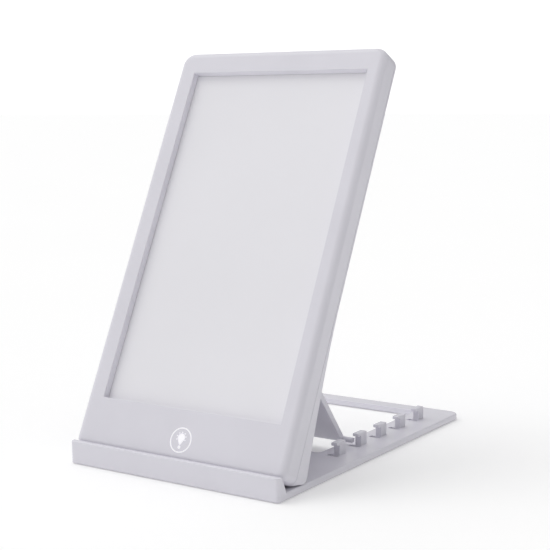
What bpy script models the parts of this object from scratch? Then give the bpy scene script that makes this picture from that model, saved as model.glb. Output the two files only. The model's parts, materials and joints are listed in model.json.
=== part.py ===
"""A slim LED light table on a folding stand.

Three bodies move on each other. A flat base frame lies on the table, with a lip along its front
and five open hooks down each side. A thin light panel is hinged to the base just behind the lip.
A prop is hinged to the panel's back, and its foot bar stands in front of a pair of hooks.

Metres, +Z up, +X to the right, -Y to the front, where the lip is. The origin is on the table,
under the middle of the base. Pieces of the panel are drawn lying flat, with the tilt axis as
their origin: x across, y up the panel and z out of the screen. The parent empty stands them up.
"""

import math

import bmesh
import bpy
from mathutils import Matrix, Vector
from mathutils.geometry import interpolate_bezier

MM = 0.001
GAP = 0.3 * MM

# Base frame
BASE_WIDTH = 160 * MM
BASE_DEPTH = 242 * MM
BASE_UNDERSIDE = 0.6 * MM
PLATE_TOP = 4.7 * MM
LIP_TOP = 14.6 * MM
LIP_THICKNESS = 4.2 * MM
TROUGH_START = 7.9 * MM
WINDOW_HALF_WIDTH = 50.5 * MM
WINDOW_FRONT = 93 * MM
WINDOW_REAR = 229 * MM
FRONT_CORNER = 2.5 * MM
REAR_CORNER = 8 * MM
WINDOW_CORNER = 4 * MM

# Hooks, measured from the base's front face
HOOK_COUNT = 5
HOOK_FIRST = 94 * MM
HOOK_PITCH = 27.6 * MM
HOOK_INNER = 60.8 * MM
HOOK_OUTER = 65.2 * MM
HOOK_POST = 7.4 * MM
HOOK_CAP_REACH = 3.5 * MM
HOOK_CAP = 2.1 * MM
HOOK_TOP = 13.5 * MM
SLOT_INNER = 57.6 * MM

# Rubber feet
FOOT_RADIUS = 6 * MM
FOOT_HEIGHT = 1.3 * MM
FOOT_X = 68 * MM
FOOT_Y = 106 * MM

# Tilt hinge: the axis is set from the base's front face and from the table
TILT = math.radians(64)
AXIS_FROM_FRONT = 25.5 * MM
AXIS_HEIGHT = 10.4 * MM
PIN_RADIUS = 1.5 * MM
BORE_RADIUS = PIN_RADIUS + GAP
LUG_RADIUS = 4.6 * MM
TILT_PIN_LENGTH = 20 * MM
PROP_PIN_LENGTH = 12 * MM
LUG_X = 50 * MM
LUG_WIDTH = 9.4 * MM
NOTCH_WIDTH = 10.8 * MM
NOTCH_REACH = 5.3 * MM
HINGE_BLOCK_HALF = 12 * MM

# Panel: y runs up the panel from the tilt axis, z runs out of the screen
PANEL_WIDTH = 161 * MM
PANEL_BOTTOM = -8 * MM
PANEL_TOP = 272.8 * MM
PANEL_FACE = 20.3 * MM
PANEL_BACK = 4.2 * MM
PARTING = 6.2 * MM
PANEL_LOW_CORNER = 6 * MM
PANEL_HIGH_CORNER = 9 * MM
FACE_ROUNDING = 4.5 * MM
SIDE_WALL = 2.6 * MM
SCREEN_INNER = 15.8 * MM
CHIN_INNER = 18.1 * MM
CHIN_CAVITY_HALF = 70 * MM
CHIN_CAVITY_LOW = -4 * MM
CHIN_CAVITY_HIGH = 18.5 * MM
SCREEN_LEFT = -66.9 * MM
SCREEN_RIGHT = 69.6 * MM
SCREEN_BOTTOM = 25 * MM
SCREEN_TOP = 256.8 * MM
SCREEN_DRAFT = 0.5 * MM
BELLY_RADIUS = 5.2 * MM
BELLY_END = 100 * MM
BELLY_WALL = 1.8 * MM
BELLY_CAVITY_X = 70.5 * MM
BELLY_CAVITY_START = 9 * MM
BELLY_CAVITY_END = 88 * MM

# Optical stack, sheet by sheet from the front
SHEET_HALF_WIDTH = 71 * MM
SHEET_TOP = 259.5 * MM
DIFFUSER = (20 * MM, 13.5 * MM, 15.5 * MM)
LIGHT_GUIDE = (18.2 * MM, 10.2 * MM, 13.2 * MM)
REFLECTOR = (18.6 * MM, 9.6 * MM, 9.9 * MM)
LED_STRIP_Y = 16 * MM
LED_STRIP_HALF = 69 * MM
LED_STRIP_THICKNESS = 1 * MM
LED_COUNT = 14

# Touch key and electronics
TOUCH_X = 1.9 * MM
TOUCH_Y = 6 * MM
TOUCH_RING_RADIUS = 7.9 * MM
TOUCH_RING_LINE = 0.7 * MM
BULB_RADIUS = 2.6 * MM
BULB_NECK = 0.7 * MM
BULB_CAP = 1.0 * MM
BULB_RISE = 1.5 * MM
NECK_DROP = 2.2 * MM
CAP_DROP = 4.4 * MM
ICON_DEPTH = 0.4 * MM
ICON_GAP = 0.15 * MM
BOARD_LEFT = -76.6 * MM
BOARD_RIGHT = 12 * MM
BOARD_LOW = 2 * MM
BOARD_HIGH = 15 * MM
BOARD_BACK = 13.0 * MM
BOARD_THICKNESS = 1.0 * MM
SOCKET_DEPTH = 7.3 * MM
SOCKET_WIDTH = 8.9 * MM
SOCKET_HEIGHT = 3.2 * MM
BATTERY_LOW = (14 * MM, 15 * MM, 3 * MM)
BATTERY_HIGH = (70 * MM, 48 * MM, 8 * MM)

WIRE_RADIUS = 0.5 * MM

# Shell screws
SCREW_X = 75.6 * MM
SCREW_ROWS = (24 * MM, 108 * MM, 190 * MM, 262 * MM)
SCREW_SHAFT = 1.0 * MM
SCREW_HEAD = 1.9 * MM
SCREW_SEAT = 5.4 * MM
BOSS_RADIUS = 2.6 * MM

# Prop: its hinge is on the panel's back, its foot bar stands just in front of the second hook
PROP_HINGE_Y = 80.9 * MM
PROP_HINGE_Z = 0.9 * MM
PROP_HALF_WIDTH = 52.5 * MM
PROP_THICKNESS = 4.2 * MM
PROP_BARREL = 2.2 * MM
PROP_LUG_WIDTH = 5 * MM
PROP_LUG_RADIUS = 3.0 * MM
FOOT_BAR_RADIUS = 1.85 * MM
FOOT_BAR_HALF = 60.4 * MM
FOOT_BAR_FROM_FRONT = 119.4 * MM
FOOT_BAR_HEIGHT = 8.3 * MM

BASE_FRONT = -BASE_DEPTH / 2
AXIS_Y = BASE_FRONT + AXIS_FROM_FRONT

LILAC = ("lilac_plastic", (0.60, 0.57, 0.66), 0.38, 0.0)
OPAL = ("opal_acrylic", (0.80, 0.78, 0.84), 0.55, 0.0)
CLEAR = ("clear_acrylic", (0.85, 0.90, 0.92), 0.10, 0.0)
WHITE_FILM = ("white_film", (0.90, 0.90, 0.90), 0.50, 0.0)
PRINT_WHITE = ("print_white", (0.95, 0.95, 0.97), 0.45, 0.0)
BOARD_GREEN = ("board_green", (0.03, 0.20, 0.09), 0.45, 0.0)
BOARD_WHITE = ("board_white", (0.85, 0.85, 0.82), 0.45, 0.0)
STEEL = ("steel", (0.60, 0.60, 0.62), 0.30, 1.0)
COPPER = ("copper", (0.80, 0.45, 0.28), 0.35, 1.0)
RUBBER = ("grey_rubber", (0.42, 0.40, 0.45), 0.85, 0.0)
FOIL = ("cell_foil", (0.62, 0.63, 0.66), 0.40, 0.6)
WIRE_RED = ("wire_red", (0.55, 0.03, 0.03), 0.45, 0.0)
WIRE_BLACK = ("wire_black", (0.02, 0.02, 0.02), 0.45, 0.0)


def clear_scene():
    for obj in list(bpy.data.objects):
        bpy.data.objects.remove(obj, do_unlink=True)


def collection(name):
    made = bpy.data.collections.new(name)
    bpy.context.scene.collection.children.link(made)
    return made


clear_scene()
PARTS = collection("light_table")
CUTTERS = collection("cutters")


def material(look):
    """The material of this look, a tuple of name, colour, roughness and metallic value."""
    name, colour, roughness, metallic = look
    made = bpy.data.materials.get(name)
    if made is None:
        made = bpy.data.materials.new(name)
        made.use_nodes = True
        shader = made.node_tree.nodes["Principled BSDF"]
        shader.inputs["Base Color"].default_value = (*colour, 1)
        shader.inputs["Roughness"].default_value = roughness
        shader.inputs["Metallic"].default_value = metallic
    return made


def place(name, mesh, look, parent):
    """Adds the mesh as a part, or as a hidden helper for a Boolean where it has no look."""
    obj = bpy.data.objects.new(name, mesh)
    obj.parent = parent
    if look is None:
        CUTTERS.objects.link(obj)
        obj.hide_render = True
        obj.display_type = "WIRE"
    else:
        PARTS.objects.link(obj)
        mesh.materials.append(material(look))
        mesh.shade_smooth()
        mesh.set_sharp_from_angle(angle=math.radians(30))
    return obj


def mesh_of(name, solid):
    """The bmesh as a closed mesh with its faces pointing out."""
    bmesh.ops.recalc_face_normals(solid, faces=solid.faces)
    mesh = bpy.data.meshes.new(name)
    solid.to_mesh(mesh)
    solid.free()
    return mesh


def block(name, low, high, look=None, parent=None, top_inset=0.0):
    """A box between two corners, whose lower face is smaller all round by top_inset."""
    solid = bmesh.new()
    size = [b - a for a, b in zip(low, high)]
    middle = [(a + b) / 2 for a, b in zip(low, high)]
    bmesh.ops.create_cube(solid, size=1, matrix=Matrix.LocRotScale(middle, None, size))
    for vertex in solid.verts:
        if vertex.co.z < middle[2]:
            for axis in (0, 1):
                vertex.co[axis] -= math.copysign(top_inset, vertex.co[axis] - middle[axis])
    return place(name, mesh_of(name, solid), look, parent)


def rod(name, radius, centre, axis, length, look=None, parent=None, segments=24):
    """A cylinder along X, Y or Z, whose middle is at the centre given."""
    solid = bmesh.new()
    turns = {"X": Matrix.Rotation(math.pi / 2, 4, "Y"), "Y": Matrix.Rotation(math.pi / 2, 4, "X")}
    turn = turns.get(axis, Matrix.Identity(4))
    bmesh.ops.create_cone(
        solid, cap_ends=True, segments=segments, radius1=radius, radius2=radius, depth=length,
        matrix=Matrix.Translation(centre) @ turn,
    )
    return place(name, mesh_of(name, solid), look, parent)


def arc(centre, radius, start, end, steps):
    """Points on a circle, from one angle in degrees to another."""
    angles = [math.radians(start + (end - start) * i / steps) for i in range(steps + 1)]
    return [(centre[0] + radius * math.cos(a), centre[1] + radius * math.sin(a)) for a in angles]


def rounded_rectangle(low, high, front_radius, rear_radius, steps=6):
    """An outline anticlockwise from the front left corner, with its own radius front and rear."""
    points = []
    corners = (
        (low[0], low[1], front_radius, 180), (high[0], low[1], front_radius, 270),
        (high[0], high[1], rear_radius, 0), (low[0], high[1], rear_radius, 90),
    )
    middle = ((low[0] + high[0]) / 2, (low[1] + high[1]) / 2)
    for x, y, radius, start in corners:
        centre = (x + math.copysign(radius, middle[0] - x), y + math.copysign(radius, middle[1] - y))
        points += arc(centre, radius, start, start + 90, steps)
    return points


def outline_solid(name, points, start, end, axis="Z", look=None, parent=None, face_rounding=0.0):
    """A closed outline run along Z, or along X with the outline's own axes along Y and Z."""
    curve = bpy.data.curves.new(name, "CURVE")
    curve.dimensions = "2D"
    curve.fill_mode = "BOTH"
    curve.extrude = (end - start) / 2
    spline = curve.splines.new("POLY")
    spline.points.add(len(points) - 1)
    for point, (a, b) in zip(spline.points, points):
        point.co = (a, b, 0, 1)
    spline.use_cyclic_u = True
    drawn = bpy.data.objects.new(name + "_outline", curve)
    CUTTERS.objects.link(drawn)
    graph = bpy.context.evaluated_depsgraph_get()
    raw = bpy.data.meshes.new_from_object(drawn.evaluated_get(graph))
    bpy.data.objects.remove(drawn, do_unlink=True)

    solid = bmesh.new()
    solid.from_mesh(raw)
    bmesh.ops.remove_doubles(solid, verts=solid.verts, dist=0.001 * MM)
    bmesh.ops.dissolve_limit(
        solid, angle_limit=math.radians(1), verts=solid.verts, edges=solid.edges
    )
    bmesh.ops.translate(solid, verts=solid.verts, vec=(0, 0, (start + end) / 2))
    if face_rounding:
        rim = [e for e in solid.edges if all(v.co.z > end - 0.01 * MM for v in e.verts)]
        bmesh.ops.bevel(
            solid, geom=rim, offset=face_rounding, segments=5, profile=0.5, affect="EDGES"
        )
    if axis == "X":
        along_x = Matrix(((0, 0, 1, 0), (1, 0, 0, 0), (0, 1, 0, 0), (0, 0, 0, 1)))
        bmesh.ops.transform(solid, verts=solid.verts, matrix=along_x)
    return place(name, mesh_of(name, solid), look, parent)


def combine(target, operation, *others):
    for other in others:
        step = target.modifiers.new(other.name, "BOOLEAN")
        step.operation = operation
        step.solver = "EXACT"
        step.object = other


def cut(target, *cutters):
    combine(target, "DIFFERENCE", *cutters)


def join(target, *pieces):
    combine(target, "UNION", *pieces)


def empty(name, location, rotation_x, parent=None):
    made = bpy.data.objects.new(name, None)
    PARTS.objects.link(made)
    made.parent = parent
    made.location = location
    made.rotation_euler = (rotation_x, 0, 0)
    return made


def wire(name, start, leaving, end, arriving, look, parent):
    """A thin wire between two points in mm, leaving and arriving along the two steps given."""
    knots = [Vector(start), Vector(start) + Vector(leaving), Vector(end) - Vector(arriving), Vector(end)]
    route = interpolate_bezier(*knots, 12)
    curve = bpy.data.curves.new(name, "CURVE")
    curve.dimensions = "3D"
    curve.bevel_depth = WIRE_RADIUS
    curve.bevel_resolution = 2
    curve.use_fill_caps = True
    spline = curve.splines.new("POLY")
    spline.points.add(len(route) - 1)
    for point, along in zip(spline.points, route):
        point.co = (*(along * MM), 1)
    obj = bpy.data.objects.new(name, curve)
    obj.parent = parent
    PARTS.objects.link(obj)
    curve.materials.append(material(look))
    return obj


# ---------------------------------------------------------------- base


def hook_fronts():
    """Where the front face of each hook's post stands."""
    return [BASE_FRONT + HOOK_FIRST + HOOK_PITCH * i for i in range(HOOK_COUNT)]


def hook(name, side, front):
    """A post with a cap that reaches forward over the foot bar, as one outline run along X."""
    rear = front + HOOK_POST
    tip = front - HOOK_CAP_REACH
    foot = PLATE_TOP - 1 * MM
    soft = 0.6 * MM
    points = [
        (front, foot), (rear, foot),
        *arc((rear - soft, HOOK_TOP - soft), soft, 0, 90, 3),
        *arc((tip + soft, HOOK_TOP - soft), soft, 90, 180, 3),
        (tip, HOOK_TOP - HOOK_CAP),
        *arc((front - soft, HOOK_TOP - HOOK_CAP - soft), soft, 90, 0, 2),
    ]
    start, end = sorted((side * HOOK_INNER, side * HOOK_OUTER))
    return outline_solid(name, points, start, end, "X")


def base_frame():
    half = BASE_WIDTH / 2
    frame = outline_solid(
        "base_frame",
        rounded_rectangle((-half, BASE_FRONT), (half, -BASE_FRONT), FRONT_CORNER, REAR_CORNER),
        BASE_UNDERSIDE, LIP_TOP, look=LILAC,
    )
    over = LIP_TOP + 1 * MM
    lip_rounding = 0.6 * MM
    front_rounding = outline_solid(
        "lip_front_rounding",
        [
            (BASE_FRONT - 1 * MM, LIP_TOP - lip_rounding),
            *arc((BASE_FRONT + lip_rounding, LIP_TOP - lip_rounding), lip_rounding, 180, 90, 4),
            (BASE_FRONT + lip_rounding, over), (BASE_FRONT - 1 * MM, over),
        ],
        -half - 1 * MM, half + 1 * MM, "X",
    )
    behind_lip = outline_solid(
        "behind_lip",
        [
            (BASE_FRONT + LIP_THICKNESS - 0.8 * MM, over),
            (BASE_FRONT + LIP_THICKNESS - 0.8 * MM, LIP_TOP),
            (BASE_FRONT + LIP_THICKNESS, LIP_TOP - 0.8 * MM),
            (BASE_FRONT + TROUGH_START, PLATE_TOP + 1 * MM),
            *arc((BASE_FRONT + TROUGH_START + 1.3 * MM, PLATE_TOP + 1.2 * MM), 1.2 * MM, 190, 270, 4),
            (-BASE_FRONT + 1 * MM, PLATE_TOP), (-BASE_FRONT + 1 * MM, over),
        ],
        -half - 1 * MM, half + 1 * MM, "X",
    )
    window = outline_solid(
        "base_window",
        rounded_rectangle(
            (-WINDOW_HALF_WIDTH, BASE_FRONT + WINDOW_FRONT),
            (WINDOW_HALF_WIDTH, BASE_FRONT + WINDOW_REAR), WINDOW_CORNER, WINDOW_CORNER, 4,
        ),
        -1 * MM, PLATE_TOP + 1 * MM,
    )
    cut(frame, front_rounding, behind_lip, window)

    for side, hand in ((-1, "left"), (1, "right")):
        for number, front in enumerate(hook_fronts(), 1):
            join(frame, hook(f"hook_{hand}_{number}", side, front))
            slot_x = sorted((side * SLOT_INNER, side * (HOOK_OUTER + GAP)))
            cut(frame, block(
                f"hook_slot_{hand}_{number}",
                (slot_x[0], front - HOOK_CAP_REACH - 0.4 * MM, -1 * MM),
                (slot_x[1], front - 0.2 * MM, PLATE_TOP + 1 * MM),
            ))
        lug = outline_solid(
            f"base_lug_{hand}",
            [
                (AXIS_Y - LUG_RADIUS, PLATE_TOP - 1 * MM), (AXIS_Y + LUG_RADIUS, PLATE_TOP - 1 * MM),
                *arc((AXIS_Y, AXIS_HEIGHT), LUG_RADIUS, 0, 180, 12),
            ],
            side * LUG_X - LUG_WIDTH / 2, side * LUG_X + LUG_WIDTH / 2, "X",
        )
        join(frame, lug)
        cut(frame, rod(
            f"base_lug_bore_{hand}", BORE_RADIUS, (side * LUG_X, AXIS_Y, AXIS_HEIGHT), "X", 20 * MM,
        ))
        for end, where in ((-1, "front"), (1, "rear")):
            cut(frame, rod(
                f"foot_seat_{where}_{hand}", FOOT_RADIUS + GAP,
                (side * FOOT_X, end * FOOT_Y, FOOT_HEIGHT + GAP - 2 * MM), "Z", 4 * MM,
            ))
    return frame


def rubber_feet():
    for side, hand in ((-1, "left"), (1, "right")):
        for end, where in ((-1, "front"), (1, "rear")):
            rod(
                f"rubber_foot_{where}_{hand}", FOOT_RADIUS,
                (side * FOOT_X, end * FOOT_Y, FOOT_HEIGHT / 2), "Z", FOOT_HEIGHT, RUBBER,
            )


# ---------------------------------------------------------------- panel


def belly(y):
    """The panel's back, which thickens towards the hinge: a height for each place up the panel."""
    share = max(0.0, 1 - y / BELLY_END)
    return PANEL_BACK - (PANEL_BACK + BELLY_RADIUS) * share ** 1.5


def back_profile(wall, start, end):
    """The back's outline in y and z from one place up the panel to another, moved in by wall."""
    steps = 14
    rise = [start + (end - start) * i / steps for i in range(steps + 1)]
    return [(y, belly(y) + wall) for y in rise]


def panel_outline(inset):
    half = PANEL_WIDTH / 2 - inset
    return rounded_rectangle(
        (-half, PANEL_BOTTOM + inset), (half, PANEL_TOP - inset), PANEL_LOW_CORNER - inset,
        PANEL_HIGH_CORNER - inset, 8,
    )


def screw_places():
    """Name ending and place across and up the panel of each shell screw."""
    for row, y in enumerate(SCREW_ROWS, 1):
        yield f"left_{row}", -SCREW_X, y
        yield f"right_{row}", SCREW_X, y


def front_shell(parent):
    shell = outline_solid(
        "front_shell", panel_outline(0), PARTING + GAP, PANEL_FACE, look=LILAC, parent=parent,
        face_rounding=FACE_ROUNDING,
    )
    cavity = outline_solid(
        "front_cavity", panel_outline(SIDE_WALL), PARTING - 1 * MM, SCREEN_INNER, parent=parent,
        face_rounding=FACE_ROUNDING - SIDE_WALL,
    )
    screen = block(
        "screen_opening", (SCREEN_LEFT, SCREEN_BOTTOM, SCREEN_INNER - 1 * MM),
        (SCREEN_RIGHT, SCREEN_TOP, PANEL_FACE + 0.2 * MM), parent=parent, top_inset=SCREEN_DRAFT,
    )
    chin_cavity = block(
        "chin_cavity", (-CHIN_CAVITY_HALF, CHIN_CAVITY_LOW, SCREEN_INNER - 1 * MM),
        (CHIN_CAVITY_HALF, CHIN_CAVITY_HIGH, CHIN_INNER), parent=parent,
    )
    socket_y = (BOARD_LOW + BOARD_HIGH) / 2
    socket_top = BOARD_BACK - GAP
    port = outline_solid(
        "socket_port",
        rounded_rectangle(
            (socket_y - SOCKET_WIDTH / 2 - GAP, socket_top - SOCKET_HEIGHT - GAP),
            (socket_y + SOCKET_WIDTH / 2 + GAP, socket_top + GAP), 1.6 * MM, 1.6 * MM, 4,
        ),
        -PANEL_WIDTH / 2 - 1 * MM, -PANEL_WIDTH / 2 + SIDE_WALL + 1 * MM, "X", parent=parent,
    )
    cut(shell, cavity, chin_cavity, screen, port)
    boss_top = SCREEN_INNER + 0.5 * MM
    boss_foot = PARTING + GAP
    for place_name, x, y in screw_places():
        join(shell, rod(
            f"boss_{place_name}", BOSS_RADIUS, (x, y, (boss_top + boss_foot) / 2), "Z",
            boss_top - boss_foot, parent=parent, segments=16,
        ))
        cut(shell, rod(
            f"boss_bore_{place_name}", SCREW_SHAFT + GAP, (x, y, PARTING + 3 * MM), "Z", 8 * MM,
            parent=parent, segments=16,
        ))
    board_rest = BOARD_BACK + BOARD_THICKNESS + GAP
    post_top = CHIN_INNER + 0.5 * MM
    for number, x in enumerate((-60 * MM, -30 * MM), 1):
        join(shell, rod(
            f"board_post_{number}", 2 * MM, (x, TOUCH_Y, (board_rest + post_top) / 2), "Z",
            post_top - board_rest, parent=parent, segments=16,
        ))
    seat = PANEL_FACE - ICON_DEPTH - ICON_GAP
    cut(shell, *touch_icon_shapes("icon_seat", parent, seat, ICON_GAP))
    return shell


def rear_shell(parent):
    beyond = 1 * MM
    barrel = arc((0, 0), BELLY_RADIUS, 180, 275, 8)
    back = back_profile(0, 3 * MM, BELLY_END)
    shell = outline_solid(
        "rear_shell",
        [
            (PANEL_BOTTOM - 0.36 * MM, PARTING), *barrel, *back,
            (PANEL_TOP + beyond, PANEL_BACK), (PANEL_TOP + beyond, PARTING),
        ],
        -PANEL_WIDTH / 2 - beyond, PANEL_WIDTH / 2 + beyond, "X", LILAC, parent,
    )
    combine(shell, "INTERSECT", outline_solid(
        "rear_outline", panel_outline(0), -20 * MM, 20 * MM, parent=parent
    ))

    over = PARTING + beyond
    inner_barrel = [(-3.4 * MM, over), *arc((0, 0), BELLY_RADIUS - BELLY_WALL, 180, 275, 6)]
    inner_back = back_profile(BELLY_WALL, 3 * MM, BELLY_CAVITY_END)
    cavity = outline_solid(
        "belly_cavity", [*inner_barrel, *inner_back, (BELLY_CAVITY_END, over)],
        -BELLY_CAVITY_X, BELLY_CAVITY_X, "X", parent=parent,
    )
    for side, hand in ((-1, "left"), (1, "right")):
        cut(cavity, block(
            f"hinge_block_{hand}",
            (side * LUG_X - HINGE_BLOCK_HALF, PANEL_BOTTOM, -BELLY_RADIUS),
            (side * LUG_X + HINGE_BLOCK_HALF, BELLY_CAVITY_START, over + beyond), parent=parent,
        ))
    cut(shell, cavity)

    for side, hand in ((-1, "left"), (1, "right")):
        cut(
            shell,
            block(
                f"hinge_notch_{hand}",
                (side * LUG_X - NOTCH_WIDTH / 2, PANEL_BOTTOM - 1 * MM, -BELLY_RADIUS - 1 * MM),
                (side * LUG_X + NOTCH_WIDTH / 2, NOTCH_REACH, NOTCH_REACH), parent=parent,
            ),
            rod(
                f"hinge_bore_{hand}", BORE_RADIUS,
                (side * (LUG_X - 1.5 * MM), 0, 0), "X", 2 * HINGE_BLOCK_HALF - 1 * MM, parent=parent,
            ),
        )
        lug_x = side * (PROP_HALF_WIDTH + 0.8 * MM + PROP_LUG_WIDTH / 2)
        lug_foot = PANEL_BACK + 0.5 * MM
        lug = outline_solid(
            f"prop_lug_{hand}",
            [
                (PROP_HINGE_Y + PROP_LUG_RADIUS, lug_foot), (PROP_HINGE_Y - PROP_LUG_RADIUS, lug_foot),
                *arc((PROP_HINGE_Y, PROP_HINGE_Z), PROP_LUG_RADIUS, 180, 360, 10),
            ],
            lug_x - PROP_LUG_WIDTH / 2, lug_x + PROP_LUG_WIDTH / 2, "X", parent=parent,
        )
        join(shell, lug)
        cut(shell, rod(
            f"prop_lug_bore_{hand}", BORE_RADIUS, (lug_x, PROP_HINGE_Y, PROP_HINGE_Z), "X",
            PROP_LUG_WIDTH + 2 * MM, parent=parent, segments=16,
        ))

    for number, x in enumerate((-40 * MM, 0, 40 * MM), 1):
        join(shell, block(
            f"stack_rib_{number}", (x - 0.8 * MM, 104 * MM, PANEL_BACK + 1 * MM),
            (x + 0.8 * MM, 252 * MM, REFLECTOR[1] - GAP), parent=parent,
        ))
    for place_name, x, y in screw_places():
        cut(
            shell,
            rod(
                f"head_seat_{place_name}", SCREW_HEAD + GAP, (x, y, SCREW_SEAT - 5 * MM), "Z",
                10 * MM, parent=parent, segments=16,
            ),
            rod(
                f"rear_bore_{place_name}", SCREW_SHAFT + GAP, (x, y, PARTING), "Z", 4 * MM,
                parent=parent, segments=16,
            ),
        )
    return shell


def sheet(name, sizes, look, parent):
    low_y, back, front = sizes
    return block(
        name, (-SHEET_HALF_WIDTH, low_y, back), (SHEET_HALF_WIDTH, SHEET_TOP, front), look, parent
    )


def led_strip(parent):
    """The lamp board on edge along the light guide's lower edge, its lamps facing up into it."""
    board_top = LED_STRIP_Y + LED_STRIP_THICKNESS
    board = block(
        "led_strip", (-LED_STRIP_HALF, LED_STRIP_Y, LIGHT_GUIDE[1] - 0.2 * MM),
        (LED_STRIP_HALF, board_top, LIGHT_GUIDE[2]), BOARD_WHITE, parent,
    )
    spacing = 2 * LED_STRIP_HALF / LED_COUNT
    lamp_low = LIGHT_GUIDE[1] + 0.6 * MM
    for number in range(LED_COUNT):
        x = (number - (LED_COUNT - 1) / 2) * spacing
        join(board, block(
            f"lamp_{number + 1}", (x - 1.5 * MM, board_top - 0.5 * MM, lamp_low),
            (x + 1.5 * MM, board_top + 0.8 * MM, lamp_low + 1.8 * MM), parent=parent,
        ))
    return board


def touch_icon_shapes(prefix, parent, low, grow=0.0, look=None):
    """The inlaid ring, lamp bulb and bulb cap of the touch key, or the seats cut for them."""
    top = PANEL_FACE + (0 if look else 0.2 * MM)
    centre = (TOUCH_X, TOUCH_Y)
    outer = TOUCH_RING_RADIUS + grow
    inner = TOUCH_RING_RADIUS - TOUCH_RING_LINE - grow
    ring = rod(
        f"{prefix}_ring" if look is None else "touch_ring", outer,
        (*centre, (low + top) / 2), "Z", top - low, look, parent, 48,
    )
    cut(ring, rod(
        f"{prefix}_ring_inside", inner, (*centre, (low + top) / 2), "Z", top - low + 2 * MM,
        parent=parent, segments=48,
    ))
    bulb = outline_solid(
        f"{prefix}_bulb" if look is None else "touch_bulb",
        [
            *arc((TOUCH_X, TOUCH_Y + BULB_RISE), BULB_RADIUS + grow, -30, 210, 20),
            *arc((TOUCH_X, TOUCH_Y - NECK_DROP), BULB_NECK + grow, 210, 330, 4),
        ],
        low, top, look=look, parent=parent,
    )
    cap = rod(
        f"{prefix}_cap" if look is None else "touch_bulb_cap", BULB_CAP + grow,
        (TOUCH_X, TOUCH_Y - CAP_DROP, (low + top) / 2), "Z", top - low, look, parent, 16,
    )
    return ring, bulb, cap


def control_board(parent):
    board = block(
        "control_board", (BOARD_LEFT, BOARD_LOW, BOARD_BACK),
        (BOARD_RIGHT, BOARD_HIGH, BOARD_BACK + BOARD_THICKNESS), BOARD_GREEN, parent,
    )
    chips = (
        ("controller_chip", -30 * MM, 5 * MM, 2.5 * MM, 2.5 * MM, 1.0 * MM),
        ("charger_chip", -50 * MM, 5 * MM, 2.0 * MM, 1.6 * MM, 1.2 * MM),
        ("boost_coil", -12 * MM, 6 * MM, 2.4 * MM, 2.4 * MM, 2.4 * MM),
        ("wire_header", 4 * MM, 3 * MM, 3.2 * MM, 2.0 * MM, 2.6 * MM),
    )
    for name, x, y, half_x, half_y, height in chips:
        join(board, block(
            name, (x - half_x, y - half_y, BOARD_BACK - height),
            (x + half_x, y + half_y, BOARD_BACK + 0.4 * MM), parent=parent,
        ))
    return board


def charging_socket(parent):
    """An open metal shell with a tongue, whose mouth is flush with the panel's left side."""
    y = (BOARD_LOW + BOARD_HIGH) / 2
    top = BOARD_BACK - GAP
    mouth = -PANEL_WIDTH / 2 + 0.4 * MM
    wall = 0.35 * MM

    def section(inset):
        return rounded_rectangle(
            (y - SOCKET_WIDTH / 2 + inset, top - SOCKET_HEIGHT + inset),
            (y + SOCKET_WIDTH / 2 - inset, top - inset), 1.4 * MM - inset, 1.4 * MM - inset, 4,
        )

    socket = outline_solid(
        "charging_socket", section(0), mouth, mouth + SOCKET_DEPTH, "X", STEEL, parent
    )
    cut(socket, outline_solid(
        "socket_inside", section(wall), mouth - 1 * MM, mouth + 6.2 * MM, "X", parent=parent
    ))
    tongue_z = top - SOCKET_HEIGHT / 2
    join(socket, block(
        "socket_tongue", (mouth + 0.8 * MM, y - 3.2 * MM, tongue_z - 0.35 * MM),
        (mouth + 6.8 * MM, y + 3.2 * MM, tongue_z + 0.35 * MM), parent=parent,
    ))
    return socket


def shell_screws(parent):
    head = 0.8 * MM
    head_top = SCREW_SEAT - GAP
    shaft = 6.4 * MM
    for place_name, x, y in screw_places():
        screw = rod(
            f"shell_screw_{place_name}", SCREW_HEAD, (x, y, head_top - head / 2), "Z", head, STEEL,
            parent, 16,
        )
        join(screw, rod(
            f"shaft_{place_name}", SCREW_SHAFT, (x, y, head_top + shaft / 2 - 0.2 * MM), "Z", shaft,
            parent=parent, segments=12,
        ))
        for number in range(2):
            across = (1.3 * MM, 0.25 * MM) if number else (0.25 * MM, 1.3 * MM)
            cut(screw, block(
                f"drive_{place_name}_{number}",
                (x - across[0], y - across[1], head_top - head - 1 * MM),
                (x + across[0], y + across[1], head_top - head / 2), parent=parent,
            ))


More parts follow.
